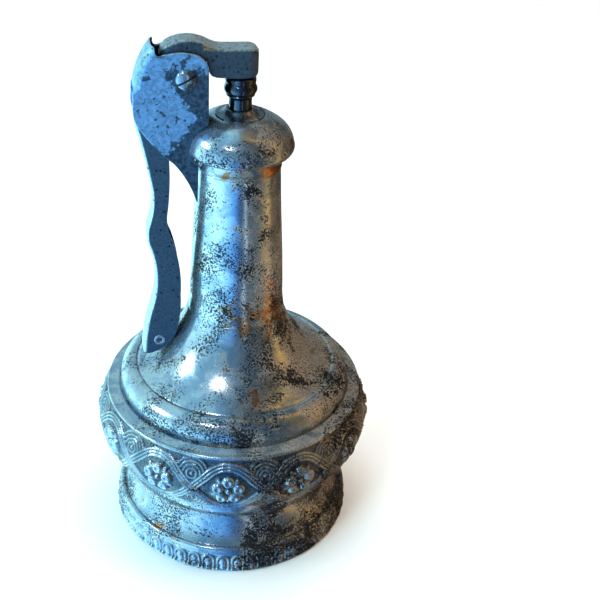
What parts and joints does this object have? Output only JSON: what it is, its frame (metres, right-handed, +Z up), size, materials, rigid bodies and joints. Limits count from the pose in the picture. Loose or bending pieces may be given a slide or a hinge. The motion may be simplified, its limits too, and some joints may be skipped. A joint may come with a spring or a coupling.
{
  "type": "lever-operated table pump",
  "caption": "Small plated table pump: bulged reservoir on a round foot, tapered neck, domed cap and a hand lever that presses a plunger.",
  "frame": {"origin": "centre of the base, on the surface that the pump stands on", "axes": "+Z up along the axis of the vessel; the lever hangs on the -X side and swings in the XZ plane"},
  "size_m": [0.0596, 0.0596, 0.1136],
  "materials": {
    "felt": "matte",
    "plated_sheet": "satin",
    "plated_foot": "worn",
    "plated_bowl": "worn",
    "plated_shoulder": "worn",
    "plated_neck": "worn",
    "plated_cap": "worn",
    "bare_copper": "tarnished",
    "brass": "satin",
    "steel": "satin",
    "screw_steel": "satin",
    "leather": "matte",
    "plated_bracket": "tarnished",
    "lever_metal": "satin",
    "arm_metal": "satin"
  },
  "bodies": {
    "housing": {"base_pad": "felt", "base_plate": "plated_sheet", "foot_shell": "plated_foot", "reservoir_floor": "plated_sheet", "bowl_shell": "plated_bowl", "shoulder_shell": "plated_shoulder", "neck_tube": "plated_neck", "neck_collar": "bare_copper", "dome_cap": "plated_cap", "gland_collar": "plated_cap", "gland_packing": "felt", "pump_barrel": "brass", "valve_seat": "brass", "valve_cage": "brass", "suction_tube": "brass", "bracket_hood": "plated_bracket", "pivot_screw": "screw_steel", "pivot_nut": "screw_steel"},
    "lever": {"handle_channel": "lever_metal", "lever_arm": "arm_metal", "pivot_bush": "brass", "arm_rivets": "screw_steel", "handle_eyelet": "screw_steel"},
    "plunger": {"plunger_rod": "steel", "piston_disc": "brass", "cup_leather": "leather", "piston_nut": "brass", "return_spring": "steel"},
    "check_ball": {"valve_ball": "steel"}
  },
  "joints": [
    {"name": "lever_swing", "type": "hinge", "parent": "housing", "child": "lever", "pos_m": [-0.0108, 0, 0.1062], "axis": [0, 1, 0], "range_deg": [0, 9.5]},
    {"name": "plunger_slide", "type": "slide", "parent": "housing", "child": "plunger", "axis": [0, 0, 1], "range_m": [-0.00203, 0], "stiffness_N_per_m": 4, "springref_m": 0.002, "deforming": ["return_spring"]},
    {"name": "ball_lift", "type": "slide", "parent": "housing", "child": "check_ball", "axis": [0, 0, 1], "range_m": [0, 0.0007]}
  ],
  "couplings": [
    {"joint": "plunger_slide", "follows": "lever_swing", "m_per_rad": -0.0121}
  ]
}
